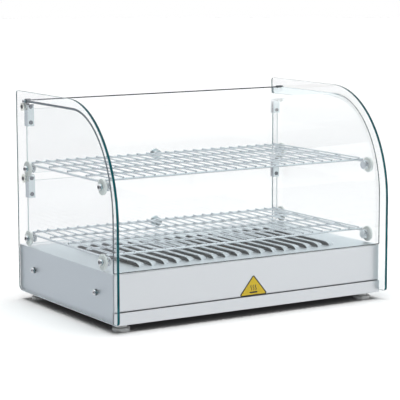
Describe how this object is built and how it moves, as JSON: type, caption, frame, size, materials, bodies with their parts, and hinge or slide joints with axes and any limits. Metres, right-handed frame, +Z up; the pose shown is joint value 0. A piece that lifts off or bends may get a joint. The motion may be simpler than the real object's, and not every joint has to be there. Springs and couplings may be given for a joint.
{
  "type": "hot food display case",
  "caption": "Countertop heated display case with flat side glasses, a curved front glass, lift-off wire racks, top-hinged rear glass doors and a louvred heated base.",
  "frame": {"origin": "on the counter, under the middle of the whole case", "axes": "+X across the case to the right as seen from the front, +Y from front to rear, +Z up; the curved front faces -Y"},
  "size_m": [0.554, 0.376, 0.3725],
  "materials": {
    "side_glass": "clear float glass with polished green edges",
    "front_glass": "clear bent float glass",
    "door_glass": "clear float glass with ground edges",
    "clear_seal": "translucent silicone strip",
    "dark_fitting": "dark plated steel",
    "chrome": "polished chrome plate",
    "rack_chrome": "bright chromed wire",
    "cover_steel": "fine brushed stainless steel",
    "pan_steel": "fine brushed stainless steel",
    "spacer_rubber": "black rubber",
    "zinc": "zinc plated steel",
    "foot_rubber": "soft translucent white",
    "nylon": "milky translucent nylon",
    "caution_print": "yellow printed sticker with a black border",
    "heater_sheath": "heat-tinted steel sheath",
    "ceramic": "unglazed steatite",
    "inner_sheet": "plain aluminised sheet",
    "black_plastic": "fine-textured black moulding",
    "dial_print": "black printed dial",
    "copper": "drawn copper",
    "brass": "turned brass",
    "red_plastic": "glossy red moulding",
    "amber_lens": "glossy translucent amber"
  },
  "bodies": {
    "case": {"side_glass_left": "side_glass", "side_glass_right": "side_glass", "front_glass": "front_glass", "front_glass_seal": "clear_seal", "front_glass_edge_strip": "spacer_rubber", "glass_clamp_studs": "dark_fitting", "glass_clamp_bolts": "chrome", "base_cover": "cover_steel", "bottom_pan": "pan_steel", "rear_panel": "cover_steel", "base_side_screws": "chrome", "base_side_spacers": "spacer_rubber", "base_side_nuts": "zinc", "pan_screws": "zinc", "rear_panel_screws": "zinc", "feet": "foot_rubber", "foot_screws": "zinc", "foot_nuts": "zinc", "caution_label": "caution_print", "rack_stud_bolts": "chrome", "rack_stud_discs": "nylon", "rack_stud_knobs": "chrome", "hinge_bushes": "nylon", "hinge_pins": "dark_fitting", "heater_element": "heater_sheath", "heater_insulators": "ceramic", "heater_brackets": "inner_sheet", "heat_shield": "inner_sheet", "thermostat_body": "black_plastic", "thermostat_bulb": "copper", "thermostat_dial_plate": "dial_print", "terminal_block": "ceramic", "terminal_screws": "zinc", "earth_stud": "brass", "switch_housing": "black_plastic", "pilot_lamp_lens": "amber_lens", "pilot_lamp_body": "black_plastic", "cable_gland": "black_plastic", "cable_gland_nut": "black_plastic"},
    "upper_door": {"upper_door_glass": "door_glass", "upper_door_clamps": "chrome", "upper_door_clamp_screws": "zinc", "upper_door_knob": "chrome", "upper_door_knob_screw": "zinc"},
    "lower_door": {"lower_door_glass": "door_glass", "lower_door_clamps": "chrome", "lower_door_clamp_screws": "zinc", "lower_door_knob": "chrome", "lower_door_knob_screw": "zinc"},
    "upper_rack": {"upper_rack": "rack_chrome"},
    "lower_rack": {"lower_rack": "rack_chrome"},
    "thermostat_knob": {"thermostat_knob": "black_plastic", "thermostat_shaft": "zinc"},
    "switch_rocker": {"switch_rocker": "red_plastic"}
  },
  "joints": [
    {"name": "upper_door_hinge", "type": "hinge", "parent": "case", "child": "upper_door", "pos_m": [0, 0.147, 0.3457], "axis": [1, 0, 0], "range_deg": [0, 105]},
    {"name": "lower_door_hinge", "type": "hinge", "parent": "case", "child": "lower_door", "pos_m": [0, 0.147, 0.2194], "axis": [1, 0, 0], "range_deg": [0, 105]},
    {"name": "upper_rack_lift", "type": "slide", "parent": "case", "child": "upper_rack", "axis": [0, 0, 1], "range_m": [0, 0.015]},
    {"name": "lower_rack_lift", "type": "slide", "parent": "case", "child": "lower_rack", "axis": [0, 0, 1], "range_m": [0, 0.015]},
    {"name": "thermostat_turn", "type": "hinge", "parent": "case", "child": "thermostat_knob", "pos_m": [0.165, 0.173, 0.06], "axis": [0, -1, 0], "range_deg": [0, 270]},
    {"name": "switch_rock", "type": "hinge", "parent": "case", "child": "switch_rocker", "pos_m": [0.075, 0.1708, 0.06], "axis": [1, 0, 0], "range_deg": [0, 14]}
  ]
}
